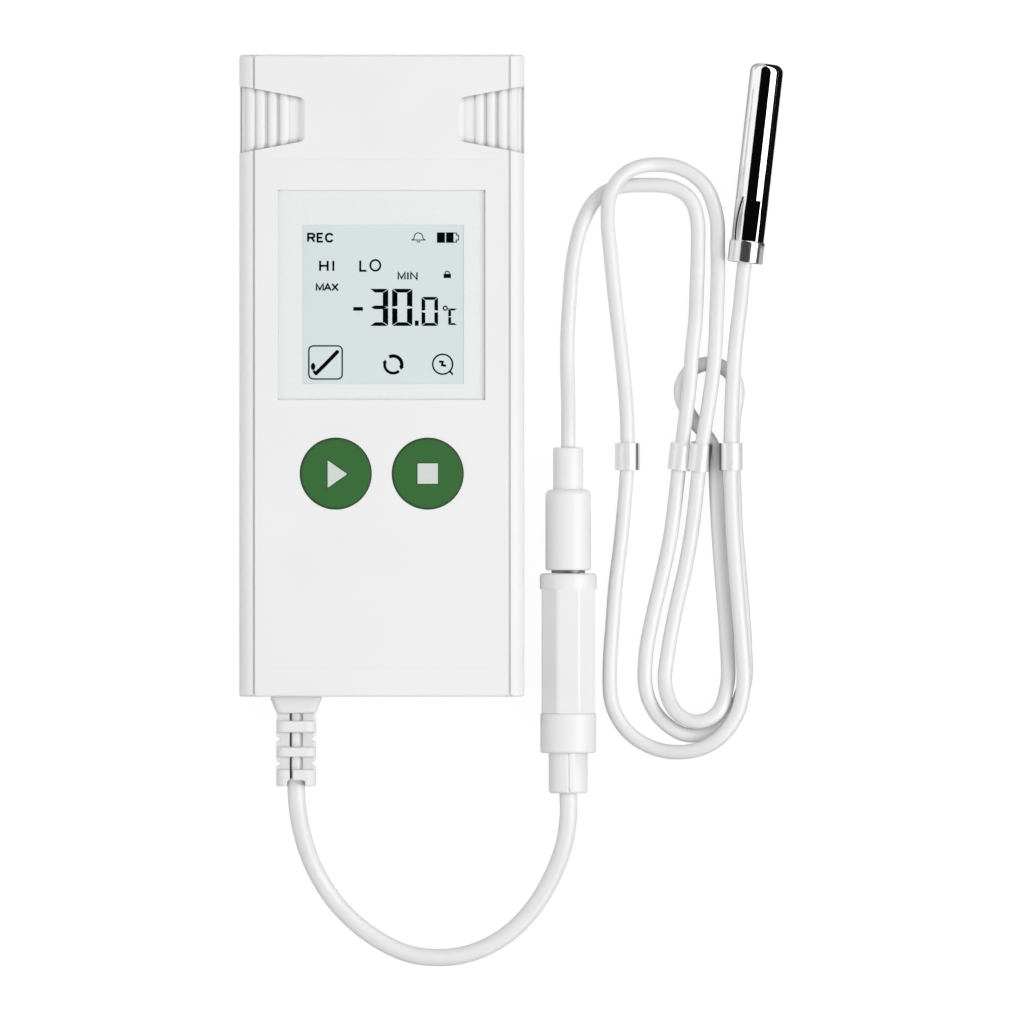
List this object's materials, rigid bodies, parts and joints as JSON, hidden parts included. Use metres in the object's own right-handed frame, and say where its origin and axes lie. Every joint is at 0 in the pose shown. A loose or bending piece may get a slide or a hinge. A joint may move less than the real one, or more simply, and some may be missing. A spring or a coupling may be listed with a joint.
{
  "type": "temperature data logger",
  "caption": "Slim pocket temperature logger with a display, start and stop keys, a coin-turned battery cover and a steel probe on a folded cable with an inline jack.",
  "frame": {"origin": "centre of the case's back face, which it lies on", "axes": "+Z out of the display face, +Y along the case towards the finger grips, +X towards the folded probe cable"},
  "size_m": [0.0823, 0.1379, 0.0128],
  "materials": {
    "case_plastic": "fine moulded texture",
    "label_film": "smooth",
    "window_pane": "polished",
    "lcd_glass": "satin",
    "carrier_plastic": "moulded",
    "elastomer": "matte",
    "button_plastic": "satin",
    "spring_steel": "satin",
    "board_laminate": "solder mask",
    "chip_resin": "matte",
    "port_steel": "plated",
    "core_sleeving": "smooth",
    "cell_steel": "satin",
    "contact_brass": "plated",
    "screw_steel": "plated",
    "relief_plastic": "soft",
    "lead_jacket": "soft",
    "connector_plastic": "satin",
    "jack_metal": "plated",
    "insulator_resin": "smooth",
    "cable_jacket": "soft",
    "clip_metal": "satin",
    "probe_steel": "polished",
    "ferrule_metal": "satin",
    "bead_epoxy": "smooth",
    "potting_resin": "cast"
  },
  "bodies": {
    "logger": {"front_cover": "case_plastic", "rear_cover": "case_plastic", "front_label": "label_film", "display_window": "window_pane", "lcd_panel": "lcd_glass", "lcd_frame": "carrier_plastic", "contact_strips": "elastomer", "button_domes": "spring_steel", "circuit_board": "board_laminate", "board_chips": "chip_resin", "data_port": "port_steel", "lead_header": "carrier_plastic", "lead_cores": "core_sleeving", "coin_cell": "cell_steel", "cell_contacts": "contact_brass", "case_seal": "elastomer", "case_screws": "screw_steel", "strain_relief": "relief_plastic", "lead_cord": "lead_jacket", "socket_body": "connector_plastic", "socket_ring": "connector_plastic", "socket_tail": "relief_plastic", "socket_barrel": "jack_metal", "socket_springs": "contact_brass", "socket_base": "insulator_resin"},
    "start_button": {"start_button": "button_plastic"},
    "stop_button": {"stop_button": "button_plastic"},
    "battery_cover": {"battery_cover": "case_plastic", "battery_seal": "elastomer"},
    "probe_lead": {"plug_body": "connector_plastic", "plug_sleeve": "relief_plastic", "jack_sleeve": "jack_metal", "jack_insulator": "insulator_resin", "jack_tip": "jack_metal", "probe_cable": "cable_jacket", "cable_clip_1": "clip_metal", "cable_clip_2": "clip_metal", "cable_clip_3": "clip_metal", "probe_tube": "probe_steel", "probe_ferrule": "ferrule_metal", "thermistor": "bead_epoxy", "potting": "potting_resin"}
  },
  "joints": [
    {"name": "start_press", "type": "slide", "parent": "logger", "child": "start_button", "axis": [0, 0, -1], "range_m": [0, 0.0003], "stiffness_N_per_m": 3000},
    {"name": "stop_press", "type": "slide", "parent": "logger", "child": "stop_button", "axis": [0, 0, -1], "range_m": [0, 0.0003], "stiffness_N_per_m": 3000},
    {"name": "battery_cover_turn", "type": "hinge", "parent": "logger", "child": "battery_cover", "pos_m": [0, -0.02, 0], "axis": [0, 0, -1], "range_deg": [0, 45]},
    {"name": "plug_pull", "type": "slide", "parent": "logger", "child": "probe_lead", "axis": [0, 1, 0], "range_m": [0, 0.015]}
  ]
}
